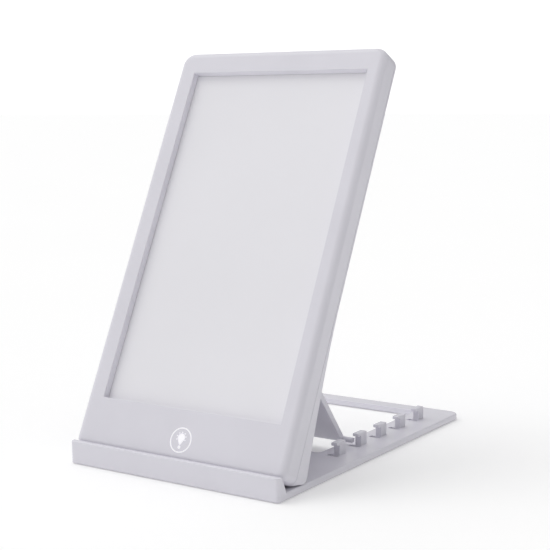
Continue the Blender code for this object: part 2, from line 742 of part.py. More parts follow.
def panel(parent):
    front_shell(parent)
    rear_shell(parent)
    sheet("diffuser", DIFFUSER, OPAL, parent)
    sheet("light_guide", LIGHT_GUIDE, CLEAR, parent)
    sheet("reflector", REFLECTOR, WHITE_FILM, parent)
    led_strip(parent)
    control_board(parent)
    charging_socket(parent)
    touch_icon_shapes("print", parent, PANEL_FACE - ICON_DEPTH, 0, PRINT_WHITE)
    sensor_back = BOARD_BACK + BOARD_THICKNESS + GAP
    rod(
        "touch_sensor", 5 * MM, (TOUCH_X, TOUCH_Y, (sensor_back + CHIN_INNER - GAP) / 2), "Z",
        CHIN_INNER - GAP - sensor_back, COPPER, parent,
    )
    block("battery", BATTERY_LOW, BATTERY_HIGH, FOIL, parent)
    shell_screws(parent)
    for side, hand in ((-1, "left"), (1, "right")):
        rod(
            f"tilt_pin_{hand}", PIN_RADIUS, (side * (LUG_X - 0.8 * MM), 0, 0), "X", TILT_PIN_LENGTH,
            STEEL, parent,
        )
        pin_middle = side * (PROP_HALF_WIDTH - 0.5 * MM)
        rod(
            f"prop_pin_{hand}", PIN_RADIUS, (pin_middle, PROP_HINGE_Y, PROP_HINGE_Z), "X",
            PROP_PIN_LENGTH, STEEL, parent, 16,
        )
    wires = (
        ("battery_wire_red", (17, 14.2, 6), (0, -9, 0), (8, 4, 12), (-7, 0, 1), WIRE_RED),
        ("battery_wire_black", (20, 14.2, 6), (0, -11, 0), (8, 2.4, 12), (-7, 0, 1), WIRE_BLACK),
        ("led_wire_red", (24, 15.2, 11.2), (0, -5, 0), (12.9, 9, 13.5), (-6, 0, 0), WIRE_RED),
        ("led_wire_black", (27, 15.2, 11.2), (0, -8, 0), (12.9, 7, 13.5), (-8, 0, 0), WIRE_BLACK),
    )
    for name, start, leaving, end, arriving, look in wires:
        wire(name, start, leaving, end, arriving, look, parent)


# ---------------------------------------------------------------- prop


def prop(parent, length):
    """A plate with a hinge barrel along its top edge and a round foot bar along its bottom edge."""
    half = PROP_THICKNESS / 2
    plate = block(
        "prop", (-PROP_HALF_WIDTH, 0, -half), (PROP_HALF_WIDTH, length, half), LILAC, parent
    )
    border = 7 * MM
    web = 1.8 * MM
    panes = 3
    pane = (2 * PROP_HALF_WIDTH - border) / panes
    for number in range(panes):
        start = -PROP_HALF_WIDTH + border + number * pane
        cut(plate, block(
            f"prop_pane_{number + 1}", (start, border, -half + web),
            (start + pane - border, length - border, half + 1 * MM), parent=parent,
        ))
    barrel_bore = 7.5 * MM
    join(
        plate,
        rod("prop_barrel", PROP_BARREL, (0, 0, 0), "X", 2 * PROP_HALF_WIDTH, parent=parent),
        rod("foot_bar", FOOT_BAR_RADIUS, (0, length, 0), "X", 2 * FOOT_BAR_HALF, parent=parent),
    )
    for side, hand in ((-1, "left"), (1, "right")):
        cut(plate, rod(
            f"barrel_bore_{hand}", BORE_RADIUS, (side * (PROP_HALF_WIDTH - barrel_bore / 2 + 1 * MM), 0, 0),
            "X", barrel_bore + 2 * MM, parent=parent, segments=16,
        ))
    return plate


def prop_geometry():
    """The prop's hinge height and length, and its angle to the panel, from where its foot stands."""
    hinge_y = AXIS_Y + PROP_HINGE_Y * math.cos(TILT) - PROP_HINGE_Z * math.sin(TILT)
    hinge_z = AXIS_HEIGHT + PROP_HINGE_Y * math.sin(TILT) + PROP_HINGE_Z * math.cos(TILT)
    run = BASE_FRONT + FOOT_BAR_FROM_FRONT - hinge_y
    drop = FOOT_BAR_HEIGHT - hinge_z
    return math.hypot(run, drop), math.atan2(drop, run) - TILT


def main():
    base_frame()
    rubber_feet()
    tilt_axis = empty("tilt_axis", (0, AXIS_Y, AXIS_HEIGHT), TILT)
    panel(tilt_axis)
    length, angle = prop_geometry()
    prop_axis = empty("prop_axis", (0, PROP_HINGE_Y, PROP_HINGE_Z), angle, tilt_axis)
    prop(prop_axis, length)


main()
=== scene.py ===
"""The looks of a slim LED light table on a folding stand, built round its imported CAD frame.

Metres, +Z up, +X to the right, -Y to the front. The panel's pieces are drawn lying flat, with the
tilt axis as their origin (x across, y up the panel, z out of the screen), and PANEL stands them
up. The prop's are drawn from its hinge in the same way, and PROP places them.
"""

import json
import math

import bmesh
import bpy
from mathutils import Matrix, Vector


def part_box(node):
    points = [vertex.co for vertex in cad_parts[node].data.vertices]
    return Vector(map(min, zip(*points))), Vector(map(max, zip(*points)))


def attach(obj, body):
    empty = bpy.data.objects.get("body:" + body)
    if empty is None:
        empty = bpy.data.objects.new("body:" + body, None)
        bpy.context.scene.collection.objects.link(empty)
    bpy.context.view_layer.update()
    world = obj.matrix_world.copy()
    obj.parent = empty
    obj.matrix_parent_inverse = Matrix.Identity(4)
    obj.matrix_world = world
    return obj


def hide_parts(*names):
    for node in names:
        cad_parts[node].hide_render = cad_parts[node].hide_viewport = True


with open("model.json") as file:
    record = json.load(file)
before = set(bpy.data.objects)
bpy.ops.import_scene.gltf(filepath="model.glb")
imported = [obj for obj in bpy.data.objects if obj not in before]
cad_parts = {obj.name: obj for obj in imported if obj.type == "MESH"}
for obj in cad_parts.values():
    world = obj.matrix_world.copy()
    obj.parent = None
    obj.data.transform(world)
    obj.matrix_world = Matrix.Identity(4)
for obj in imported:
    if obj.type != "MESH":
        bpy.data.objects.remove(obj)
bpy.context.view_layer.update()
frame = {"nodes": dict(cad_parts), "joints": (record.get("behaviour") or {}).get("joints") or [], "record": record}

MM = 0.001


# ---------------------------------------------------------------- places, from the frame


def joint_place(name):
    return Vector(next(joint["pos_m"] for joint in frame["joints"] if joint["name"] == name))


def local_box(node, matrix):
    """Lowest and highest corner of a CAD node in the axes of this matrix."""
    inverse = matrix.inverted()
    points = [inverse @ vertex.co for vertex in frame["nodes"][node].data.vertices]
    return Vector(map(min, *points)), Vector(map(max, *points))


# Room between pieces that touch, and how far a boss or rib sinks into the wall it stands on
GAP = 0.3 * MM
OVERLAP = 0.5 * MM

FACE_AXIS = next(
    mount["axis"] for mount in frame["record"]["mounts"] if mount["name"] == "front_face"
)
TILT = math.atan2(-FACE_AXIS[1], FACE_AXIS[2])
TILT_HINGE = joint_place("tilt_hinge")
PANEL = Matrix.Translation(TILT_HINGE) @ Matrix.Rotation(TILT, 4, "X")

FRONT_LOW, FRONT_HIGH = local_box("front_shell", PANEL)
BASE_LOW, BASE_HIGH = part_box("base_frame")
PANEL_HALF = FRONT_HIGH.x
PANEL_BOTTOM = FRONT_LOW.y
PANEL_TOP = FRONT_HIGH.y
FACE = FRONT_HIGH.z
PARTING_FRONT = FRONT_LOW.z
PARTING_REAR = PARTING_FRONT - GAP
LIP_TOP = BASE_HIGH.z
BASE_FRONT = BASE_LOW.y

# ---------------------------------------------------------------- driving dimensions

PANEL_LOW_CORNER = 6 * MM
PANEL_HIGH_CORNER = 9 * MM
FACE_ROUNDING = 4.5 * MM
SIDE_WALL = 2.6 * MM
SCREEN_INNER = 15.8 * MM
CHIN_INNER = 18.1 * MM
CHIN_CAVITY_HALF = 70 * MM
CHIN_CAVITY_LOW = -4 * MM
CHIN_CAVITY_HIGH = 18.5 * MM
SCREEN_LEFT = -66.9 * MM
SCREEN_RIGHT = 69.6 * MM
SCREEN_BOTTOM = 25 * MM
SCREEN_TOP = 256.8 * MM
SCREEN_DRAFT = 0.35 * MM
SCREEN_CORNER = 0.5 * MM
SCREEN_EDGE = 0.35 * MM
PARTING_BEVEL = 0.12 * MM
SIDE_WALL_MIDDLE = 10 * MM
FACE_MARGIN = 0.4 * MM
SCREEN_MARGIN = 0.8 * MM

PANEL_BACK = 4.2 * MM
BARREL = 5.2 * MM
BELLY_END = 100 * MM
BELLY_WALL = 1.8 * MM
BELLY_CAVITY_X = 70.5 * MM
BELLY_CAVITY_START = 9 * MM
BELLY_CAVITY_END = 88 * MM
BACK_ROUNDING = 0.7 * MM
TOE_ROUNDING = 0.35 * MM
TOE_RISE = 5.5 * MM
BARREL_END = 0.5 * MM
BELLY_CURVE = 1.5
# Heights above the tilt axis, in mm, where rows of points cross the back
BACK_STATIONS = (
    0.5, 2, 4, 6, 8, 10, 13, 16, 20, 25, 30, 36, 43, 51, 60, 70, 80, 90, 100, 140, 190, 240,
)
RIB_X = (-40 * MM, 0, 40 * MM)
RIB_HALF_THICKNESS = 0.8 * MM
RIB_LOW = 104 * MM
RIB_HIGH = 252 * MM

PIN_BORE = 1.8 * MM
LUG_X = 50 * MM
LUG_RADIUS = 4.6 * MM
LUG_WIDTH = 9.4 * MM
LUG_BORE_HALF = 8 * MM
BLOCK_BORE_X = LUG_X - 1.5 * MM
BLOCK_BORE_HALF = 11.5 * MM
NOTCH_WIDTH = 10.8 * MM
NOTCH_REACH = 5.3 * MM
HINGE_BLOCK_HALF = 12 * MM

PLATE_TOP = 4.7 * MM
LIP_THICKNESS = 4.2 * MM
TROUGH_START = 7.9 * MM
LIP_ROUNDING = 0.55 * MM
PLATE_ROUNDING = 0.9 * MM
BASE_LOWER_EDGE = 0.3 * MM
WINDOW_ROUNDING = 0.6 * MM
SLOT_ROUNDING = 0.2 * MM
FRONT_CORNER = 2.5 * MM
REAR_CORNER = 8 * MM
# Distances behind the base's front, in mm, where rows of points cross the plate
BASE_STATIONS = (20, 55, 93, 140, 185, 225)
WINDOW_HALF_WIDTH = 50.5 * MM
WINDOW_FRONT = BASE_FRONT + 93 * MM
WINDOW_REAR = BASE_FRONT + 229 * MM
WINDOW_CORNER = 4 * MM

HOOK_COUNT = 5
HOOK_FIRST = BASE_FRONT + 94 * MM
HOOK_PITCH = 27.6 * MM
HOOK_INNER = 60.8 * MM
HOOK_OUTER = 65.2 * MM
HOOK_POST = 7.4 * MM
HOOK_CAP_REACH = 3.5 * MM
HOOK_CAP = 2.1 * MM
HOOK_TOP = 13.5 * MM
HOOK_ROUNDING = 0.7 * MM
HOOK_TIP_ROUNDING = 0.3 * MM
SLOT_INNER = 57.6 * MM
SLOT_CORNER = 0.4 * MM
SLOT_FRONT_ROOM = 0.4 * MM
SLOT_REAR_ROOM = 0.25 * MM

TOUCH_X = 1.9 * MM
TOUCH_Y = 6 * MM
RING_RADIUS = 7.9 * MM
RING_LINE = 0.7 * MM
BULB_RADIUS = 2.6 * MM
BULB_NECK = 0.7 * MM
BULB_CAP = 1.0 * MM
BULB_RISE = 1.5 * MM
NECK_DROP = 2.2 * MM
CAP_DROP = 4.4 * MM
RAY_COUNT = 7
RAY_START = -22
RAY_SPAN = 224
RAY_RADIUS = 3.4 * MM
RAY_DOT = 0.4 * MM
PRINT_PROUD = 0.03 * MM
PRINT_DEPTH = 0.2 * MM
PRINT_EDGE = 0.02 * MM
# Strength of the print's painted glow: emission that makes the print look brighter, though no lamp lights it
PRINT_PAINTED_GLOW = 0.2

SCREW_X = 75.6 * MM
SCREW_ROWS = (24 * MM, 108 * MM, 190 * MM, 262 * MM)
SCREW_SEAT = 5.4 * MM
SCREW_SEAT_CHAMFER = 0.3 * MM
SCREW_HEAD = 1.9 * MM
SCREW_SHAFT = 1.0 * MM
SCREW_BORE = SCREW_SHAFT + GAP
SCREW_BORE_TOP = PARTING_FRONT + 6.7 * MM
SCREW_HEAD_HEIGHT = 0.8 * MM
SCREW_PITCH = 0.5 * MM
SCREW_ROOT = 0.72 * MM
CROSS_REACH = 1.2 * MM
CROSS_HALF_WIDTH = 0.22 * MM
CROSS_DEPTH = 0.45 * MM
BOSS_RADIUS = 2.6 * MM
BOARD_POST_RADIUS = 2 * MM
BOARD_POST_SHARES = (0.18, 0.52)

SOCKET_CORNER = 1.4 * MM
SOCKET_WALL = 0.35 * MM
TONGUE_INSET = 1.25 * MM
TONGUE_HALF_THICKNESS = 0.35 * MM

PROP_HALF_WIDTH = 52.5 * MM
PROP_THICKNESS = 4.2 * MM
PROP_BARREL = 2.2 * MM
PROP_LUG_WIDTH = 5 * MM
PROP_LUG_RADIUS = 3.0 * MM
PROP_LUG_BORE_HALF = 4 * MM
PROP_LUG_X = PROP_HALF_WIDTH + 0.8 * MM + PROP_LUG_WIDTH / 2
FOOT_BAR_RADIUS = 1.85 * MM
FOOT_BAR_HALF = 60.4 * MM
PIN_DEPTH = 7.5 * MM
PANE_BORDER = 7 * MM
PANE_WEB = 1.8 * MM
PANE_CORNER = 2 * MM
PANE_FLOOR_ROUNDING = 0.8 * MM
PANE_RIM_ROUNDING = 0.35 * MM
PANE_COUNT = 3

PROP_HINGE = joint_place("prop_hinge")
PROP_LOW, PROP_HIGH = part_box("prop")
FOOT_BAR = Vector((0, PROP_HIGH.y - FOOT_BAR_RADIUS, PROP_LOW.z + FOOT_BAR_RADIUS))
PROP_RUN = FOOT_BAR - PROP_HINGE
PROP_LENGTH = PROP_RUN.length
PROP = Matrix.Translation(PROP_HINGE) @ Matrix.Rotation(math.atan2(PROP_RUN.z, PROP_RUN.y), 4, "X")
PROP_HINGE_LOCAL = PANEL.inverted() @ PROP_HINGE

# The camera, where a fit to the object's straight edges puts it
CAMERA_PLACE = (0.46769, -0.71047, 0.22595)
CAMERA_YAW = math.radians(33.46)
CAMERA_PITCH = math.radians(7.50)
CAMERA_ROLL = math.radians(-0.26)
CAMERA_LENS = 83.08
SENSOR_WIDTH = 36
CAMERA_REACH = 100

# Studio light: cosine lobes of the white surround, each a direction times its strength, and one
# soft far light from the upper left
SURROUND_LOBES = ((-0.70, 0, 0), (0, -0.035, 0), (0, 0, 0.98))
SUN_FROM = (-0.48, -0.21, 0.85)
SUN_STRENGTH = 0.36
SUN_SOFTNESS = 35
FLOOR_SIZE = 40
FLOOR_WHITE = 0.95
FLOOR_GLOW = 0.13
BACKDROP_WHITE = 1.15


# ---------------------------------------------------------------- materials


def node_of(tree, kind, **values):
    node = tree.nodes.new(kind)
    for name, value in values.items():
        if name in node.inputs:
            node.inputs[name].default_value = value
        else:
            setattr(node, name, value)
    return node


def noise(tree, scale, detail=2.0, stretch=(1, 1, 1)):
    """A noise value that is fixed to the piece, with features about 1 / scale metres across."""
    place = node_of(tree, "ShaderNodeTexCoord")
    mapping = node_of(tree, "ShaderNodeMapping", Scale=stretch)
    texture = node_of(tree, "ShaderNodeTexNoise", Scale=scale, Detail=detail)
    tree.links.new(place.outputs["Object"], mapping.inputs["Vector"])
    tree.links.new(mapping.outputs["Vector"], texture.inputs["Vector"])
    return texture.outputs["Fac"]


def map_range(tree, value, source, target):
    limits = {
        "From Min": source[0], "From Max": source[1], "To Min": target[0], "To Max": target[1],
    }
    node = node_of(tree, "ShaderNodeMapRange", **limits)
    tree.links.new(value, node.inputs["Value"])
    return node.outputs["Result"]


def fixed_to_piece(tree, texture):
    """Ties a texture to the piece's own axes."""
    place = node_of(tree, "ShaderNodeTexCoord")
    tree.links.new(place.outputs["Object"], texture.inputs["Vector"])


def spread(tree, value, low, high):
    """The noise's middle range, from 0.35 to 0.65, spread over low to high."""
    return map_range(tree, value, (0.35, 0.65), (low, high))


def mix_colours(tree, share, first, second):
    mix = tree.nodes.new("ShaderNodeMix")
    mix.data_type = "RGBA"
    tree.links.new(share, mix.inputs["Factor"])
    for socket, colour in (("A", first), ("B", second)):
        found = [s for s in mix.inputs if s.name == socket and s.type == "RGBA"][0]
        if isinstance(colour, tuple):
            found.default_value = (*colour, 1)
        else:
            tree.links.new(colour, found)
    return [s for s in mix.outputs if s.type == "RGBA"][0]


def scaled(colour, factor):
    return tuple(channel * factor for channel in colour)


def surface(name, colour, roughness, metallic=0.0, ior=1.5, cloud=(25, 0.015), grain=(1800, 0.04),
            bump=(2600, 0.1, 0.02 * MM), stretch=(1, 1, 1), extra=None):
    """A Principled material: a faint cloud in its colour, a fine grain in its gloss, a fine bump.

    cloud is the cloud's scale and strength, grain the gloss's scale and how far it moves the
    roughness, and bump its scale, strength and depth.
    """
    material = bpy.data.materials.new(name)
    material.use_nodes = True
    tree = material.node_tree
    shader = tree.nodes["Principled BSDF"]
    shader.inputs["Metallic"].default_value = metallic
    shader.inputs["IOR"].default_value = ior
    tint = mix_colours(
        tree, spread(tree, noise(tree, cloud[0], 4, stretch), 0, 1),
        scaled(colour, 1 - cloud[1]), scaled(colour, 1 + cloud[1]),
    )
    if extra:
        tint = extra(tree, tint)
    tree.links.new(tint, shader.inputs["Base Color"])
    gloss = spread(tree, noise(tree, grain[0], 3, stretch), roughness - grain[1], roughness + grain[1])
    tree.links.new(gloss, shader.inputs["Roughness"])
    relief = node_of(tree, "ShaderNodeBump", Strength=bump[1], Distance=bump[2])
    tree.links.new(noise(tree, bump[0], 3, stretch), relief.inputs["Height"])
    tree.links.new(relief.outputs["Normal"], shader.inputs["Normal"])
    return material


def dust_specks(tree, tint):
    """The odd darker fleck, as moulded pale plastic has."""
    flecks = node_of(tree, "ShaderNodeTexVoronoi", Scale=160.0)
    fixed_to_piece(tree, flecks)
    share = map_range(tree, flecks.outputs["Distance"], (0.02, 0.035), (0.25, 0.0))
    return mix_colours(tree, share, tint, (0.45, 0.42, 0.48))


def copper_tracks(tree, tint):
    """Pale tracks on a circuit board, from a brick pattern."""
    bricks = node_of(tree, "ShaderNodeTexBrick", Scale=140.0)
    bricks.inputs["Mortar Size"].default_value = 0.04
    fixed_to_piece(tree, bricks)
    return mix_colours(tree, bricks.outputs["Fac"], tint, (0.16, 0.42, 0.20))


def light_dots(tree, tint):
    """The grid of printed dots that turns the light of a light guide out of it."""
    dots = node_of(tree, "ShaderNodeTexVoronoi", Scale=420.0, Randomness=0.0)
    fixed_to_piece(tree, dots)
    share = map_range(tree, dots.outputs["Distance"], (0.2, 0.3), (1.0, 0.0))
    return mix_colours(tree, share, tint, (0.97, 0.97, 0.97))


LILAC = (0.77, 0.757, 0.82)
LOOKS = {
    "lilac_plastic": surface("lilac_plastic", LILAC, 0.36, extra=dust_specks),
    "lilac_base": surface("lilac_base", LILAC, 0.20, grain=(1800, 0.03), extra=dust_specks),
    "opal_acrylic": surface("opal_acrylic", (0.885, 0.876, 0.915), 0.48, cloud=(12, 0.01),
                            bump=(3500, 0.06, 0.01 * MM)),
    "clear_acrylic": surface("clear_acrylic", (0.86, 0.91, 0.93), 0.12, ior=1.49, extra=light_dots),
    "white_film": surface("white_film", (0.90, 0.90, 0.90), 0.5),
    # The print's white material also gets a painted glow, set further down
    "print_white": surface("print_white", (0.95, 0.94, 0.98), 0.5, cloud=(300, 0.01)),
    "board_green": surface("board_green", (0.03, 0.20, 0.09), 0.4, extra=copper_tracks),
    "board_white": surface("board_white", (0.84, 0.84, 0.81), 0.42),
    "steel": surface("steel", (0.58, 0.58, 0.60), 0.3, metallic=1.0, stretch=(0.1, 1, 1),
                     grain=(900, 0.08)),
    "copper": surface("copper", (0.80, 0.45, 0.28), 0.35, metallic=1.0, grain=(600, 0.1)),
    "rubber": surface("rubber", (0.16, 0.15, 0.18), 0.8, cloud=(200, 0.08),
                      bump=(1500, 0.5, 0.05 * MM)),
    "cell_foil": surface("cell_foil", (0.60, 0.61, 0.64), 0.38, metallic=0.7,
                         bump=(120, 0.4, 0.2 * MM)),
    "wire_red": surface("wire_red", (0.5, 0.03, 0.03), 0.42),
    "wire_black": surface("wire_black", (0.02, 0.02, 0.02), 0.45),
}


# ---------------------------------------------------------------- mesh helpers


def arc(centre, radius, start, end, steps):
    """Points on a circle, from one angle in degrees to another."""
    angles = [math.radians(start + (end - start) * i / steps) for i in range(steps + 1)]
    return [(centre[0] + radius * math.cos(a), centre[1] + radius * math.sin(a)) for a in angles]


def rounded_outline(low, high, radius, grow=0.0, steps=10, high_radius=None):
    """A rounded rectangle anticlockwise from its lower left corner, grown all round."""
    corners = ((0, 0, 180), (1, 0, 270), (1, 1, 0), (0, 1, 90))
    radii = (radius, high_radius or radius)
    points = []
    for right, upper, start in corners:
        radius = radii[upper]
        centre = (
            high[0] - radius if right else low[0] + radius,
            high[1] - radius if upper else low[1] + radius,
        )
        points += arc(centre, radius + grow, start, start + 90, steps)
    return points


def loft(rings, closed=False):
    """Quads between rings of equal count. The ends are capped, or joined to each other."""
    solid = bmesh.new()
    rows = [[solid.verts.new(point) for point in ring] for ring in rings]
    pairs = list(zip(rows, rows[1:] + (rows[:1] if closed else [])))
    for lower, upper in pairs:
        for i in range(len(lower)):
            j = (i + 1) % len(lower)
            solid.faces.new((lower[i], lower[j], upper[j], upper[i]))
    if not closed:
        solid.faces.new(rows[0][::-1])
        solid.faces.new(rows[-1])
    bmesh.ops.recalc_face_normals(solid, faces=solid.faces)
    return solid


def levels(outline, steps):
    """Rings from an outline function: each step is how far it is grown and its height."""
    return [[(x, y, z) for x, y in outline(grow)] for grow, z in steps]


def quarter(radius, steps=5):
    """How far in and how far down each point of a rounded edge lies, from the wall to the top."""
    for i in range(steps + 1):
        turn = math.pi / 2 * i / steps
        yield radius * (1 - math.cos(turn)), radius * (1 - math.sin(turn))


def prism(points, start, end, axis="Z", soften=0.0, segments=3, crease=35):
    """An outline run along Z, or along X with its own axes along Y and Z, its sharp edges softened."""
    solid = bmesh.new()
    face = solid.faces.new([solid.verts.new((a, b, start)) for a, b in points])
    made = bmesh.ops.extrude_face_region(solid, geom=[face])["geom"]
    top = [vertex for vertex in made if isinstance(vertex, bmesh.types.BMVert)]
    bmesh.ops.translate(solid, verts=top, vec=(0, 0, end - start))
    bmesh.ops.recalc_face_normals(solid, faces=solid.faces)
    if soften:
        solid.normal_update()
        sharp = [e for e in solid.edges if e.calc_face_angle(0) > math.radians(crease)]
        bmesh.ops.bevel(
            solid, geom=sharp, offset=soften, segments=segments, profile=0.5, affect="EDGES",
            clamp_overlap=True,
        )
    if axis == "X":
        along_x = Matrix(((0, 0, 1, 0), (1, 0, 0, 0), (0, 1, 0, 0), (0, 0, 0, 1)))
        bmesh.ops.transform(solid, verts=solid.verts, matrix=along_x)
    bmesh.ops.recalc_face_normals(solid, faces=solid.faces)
    return solid


def block(low, high, soften=0.0, segments=3):
    """A box between two corners with softened edges."""
    outline = [(low[0], low[1]), (high[0], low[1]), (high[0], high[1]), (low[0], high[1])]
    return prism(outline, low[2], high[2], soften=soften, segments=segments)


def turned(profile, centre, axis, segments=32):
    """A turned solid from a profile of (place along the axis, radius), round X or Z."""
    rings = []
    for along, radius in profile:
        ring = []
        for i in range(segments):
            a = 2 * math.pi * i / segments
            u, v = radius * math.cos(a), radius * math.sin(a)
            ring.append(Vector(centre) + Vector((along, u, v) if axis == "X" else (u, v, along)))
        rings.append(ring)
    return loft(rings)


def rounded_rod(start, end, radius, edge, centre, axis, segments=32):
    """A rod from start to end along its axis, with rounded rims."""
    rim = list(quarter(edge, 4))
    lower = [(start + down, radius - inward) for inward, down in reversed(rim)]
    upper = [(end - down, radius - inward) for inward, down in rim]
    return turned(lower + upper, centre, axis, segments)


def flared_hole(outline, low, high, flare, steps=4):
    """A cutter through a plate from low to high that rounds the hole's upper and lower rims."""
    beyond = 1 * MM
    graze = 0.01 * MM
    rims = list(quarter(flare, steps))
    lower = [(flare, low - beyond), (flare, low - graze)]
    lower += [(inward, low + down) for inward, down in reversed(rims[:-1])]
    upper = [(i, high - d) for i, d in rims[:-1]] + [(flare, high + graze), (flare, high + beyond)]
    return loft(levels(outline, lower + upper))


def several(solids):
    """Separate solids as one bmesh."""
    whole = bmesh.new()
    for solid in solids:
        mesh = bpy.data.meshes.new("part")
        solid.to_mesh(mesh)
        solid.free()
        whole.from_mesh(mesh)
        bpy.data.meshes.remove(mesh)
    return whole


def new_object(name, solid):
    mesh = bpy.data.meshes.new(name)
    solid.to_mesh(mesh)
    solid.free()
    obj = bpy.data.objects.new(name, mesh)
    bpy.context.scene.collection.objects.link(obj)
    return obj


def settle(obj):
    """Applies the object's modifiers."""
    graph = bpy.context.evaluated_depsgraph_get()
    mesh = bpy.data.meshes.new_from_object(obj.evaluated_get(graph))
    obj.modifiers.clear()
    old = obj.data
    obj.data = mesh
    mesh.name = obj.name
    bpy.data.meshes.remove(old)


def combine(obj, operation, solids):
    """A Boolean with solids that don't overlap each other."""
    other = new_object("tool", several(solids))
    step = obj.modifiers.new("combine", "BOOLEAN")
    step.operation = operation
    step.solver = "EXACT"
    step.object = other
    settle(obj)
    bpy.data.meshes.remove(other.data)


def join(obj, *solids):
    combine(obj, "UNION", solids)


def cut(obj, *solids):
    combine(obj, "DIFFERENCE", solids)


def finish_piece(obj, body, look, matrix=None, replaces=(), crease=32):
    """Cleans and shades the mesh, stands it in its place and hands it to its body."""
    solid = bmesh.new()
    solid.from_mesh(obj.data)
    bmesh.ops.remove_doubles(solid, verts=solid.verts, dist=0.0005 * MM)
    bmesh.ops.dissolve_degenerate(solid, dist=0.0005 * MM, edges=solid.edges)
    if matrix is not None:
        bmesh.ops.transform(solid, verts=solid.verts, matrix=matrix)
    bmesh.ops.recalc_face_normals(solid, faces=solid.faces)
    solid.to_mesh(obj.data)
    solid.free()
    obj.data.shade_smooth()
    obj.data.set_sharp_from_angle(angle=math.radians(crease))
    weighted = obj.modifiers.new("weighted", "WEIGHTED_NORMAL")
    weighted.keep_sharp = True
    weighted.weight = 50
    settle(obj)
    obj.data.materials.clear()
    obj.data.materials.append(LOOKS[look])
    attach(obj, body)
    if replaces:
        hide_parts(*replaces)


# ---------------------------------------------------------------- slab: an outline with a shaped top


def slab_rows(half, low, high, low_radius, high_radius, stations, steps):
    """The right side of a rounded outline, low end first: (centre, direction, radius) of each point."""
    rows = []
    for x, y, radius, start in (
        (half - low_radius, low + low_radius, low_radius, -90),
        (half - high_radius, high - high_radius, high_radius, 0),
    ):
        if start == 0:
            rows += [((0, s), (1, 0), half) for s in stations if low + low_radius < s < y]
        for i in range(steps + 1):
            turn = math.radians(start + 90 * i / steps)
            rows.append(((x, y), (math.cos(turn), math.sin(turn)), radius))
    return rows


def slab(rows, flat, relief, rounding, bevel, up=1, steps=6):
    """A closed solid on this outline between a flat face and a shaped one.

    relief gives the shaped face's height for each y, and rounding the radius of its edge.
    """
    def point(row, inward):
        (x, y), (dx, dy), radius = row
        return x + dx * (radius - inward), y + dy * (radius - inward)

    def ring(inward, height):
        right = [(*point(row, inward(row)), height(row)) for row in rows]
        return right + [(-x, y, z) for x, y, z in reversed(right)]

    def shaped(turn):
        def inward(row):
            return rounding(point(row, 0)[1]) * (1 - math.cos(turn))

        def height(row):
            drop = rounding(point(row, 0)[1]) * (1 - math.sin(turn))
            return relief(point(row, inward(row))[1]) - up * drop

        return ring(inward, height)

    rings = [
        ring(lambda row: bevel, lambda row: flat),
        ring(lambda row: 0, lambda row: flat + up * bevel),
    ]
    rings += [shaped(math.pi / 2 * i / steps) for i in range(steps + 1)]
    solid = bmesh.new()
    made = [[solid.verts.new(p) for p in r] for r in rings]
    count = len(made[0])
    for lower, upper in zip(made, made[1:]):
        for i in range(count):
            j = (i + 1) % count
            solid.faces.new((lower[i], lower[j], upper[j], upper[i]))
    for edge in (made[0], made[-1]):
        for i in range(len(rows) - 1):
            solid.faces.new((edge[i], edge[i + 1], edge[count - 2 - i], edge[count - 1 - i]))
    bmesh.ops.recalc_face_normals(solid, faces=solid.faces)
    return solid


def between(profile, y):
    """The height at y of a profile of (y, height) points."""
    if y <= profile[0][0]:
        return profile[0][1]
    for (y0, z0), (y1, z1) in zip(profile, profile[1:]):
        if y <= y1:
            return z0 + (z1 - z0) * (y - y0) / (y1 - y0)
    return profile[-1][1]


# ---------------------------------------------------------------- base


def base_profile():
    """The base's upper surface from front to rear: lip, sloping inner face, trough, plate."""
    edge, hollow = 0.8 * MM, 1.2 * MM
    lip_rear = BASE_FRONT + LIP_THICKNESS
    trough = BASE_FRONT + TROUGH_START
    shoulder = arc((lip_rear - edge, LIP_TOP - edge), edge, 90, 10, 5)
    foot = arc((trough + 1.3 * MM, PLATE_TOP + hollow), hollow, 190, 270, 6)
    return [*shoulder, *foot, (BASE_HIGH.y, PLATE_TOP)]


def hook(side, front):
    """A post with a cap that reaches forward over the foot bar."""
    rear = front + HOOK_POST
    tip = front - HOOK_CAP_REACH
    foot = PLATE_TOP - 1 * MM
    soft, tip_soft = HOOK_ROUNDING, HOOK_TIP_ROUNDING
    points = [
        (front, foot), (rear, foot),
        *arc((rear - soft, HOOK_TOP - soft), soft, 0, 90, 6),
        *arc((tip + soft, HOOK_TOP - soft), soft, 90, 180, 6),
        *arc((tip + tip_soft, HOOK_TOP - HOOK_CAP + tip_soft), tip_soft, 180, 270, 3),
        *arc((front - soft, HOOK_TOP - HOOK_CAP - soft), soft, 90, 0, 5),
    ]
    start, end = sorted((side * HOOK_INNER, side * HOOK_OUTER))
    return prism(points, start, end, "X", soften=0.25 * MM)


def base_lug(side):
    y, z = TILT_HINGE.y, TILT_HINGE.z
    points = [
        (y - LUG_RADIUS, PLATE_TOP - 1 * MM), (y + LUG_RADIUS, PLATE_TOP - 1 * MM),
        *arc((y, z), LUG_RADIUS, 0, 180, 24),
    ]
    middle = side * LUG_X
    return prism(points, middle - LUG_WIDTH / 2, middle + LUG_WIDTH / 2, "X", soften=0.4 * MM)


def foot_middle(low, high):
    return (low.x + high.x) / 2, (low.y + high.y) / 2, 0


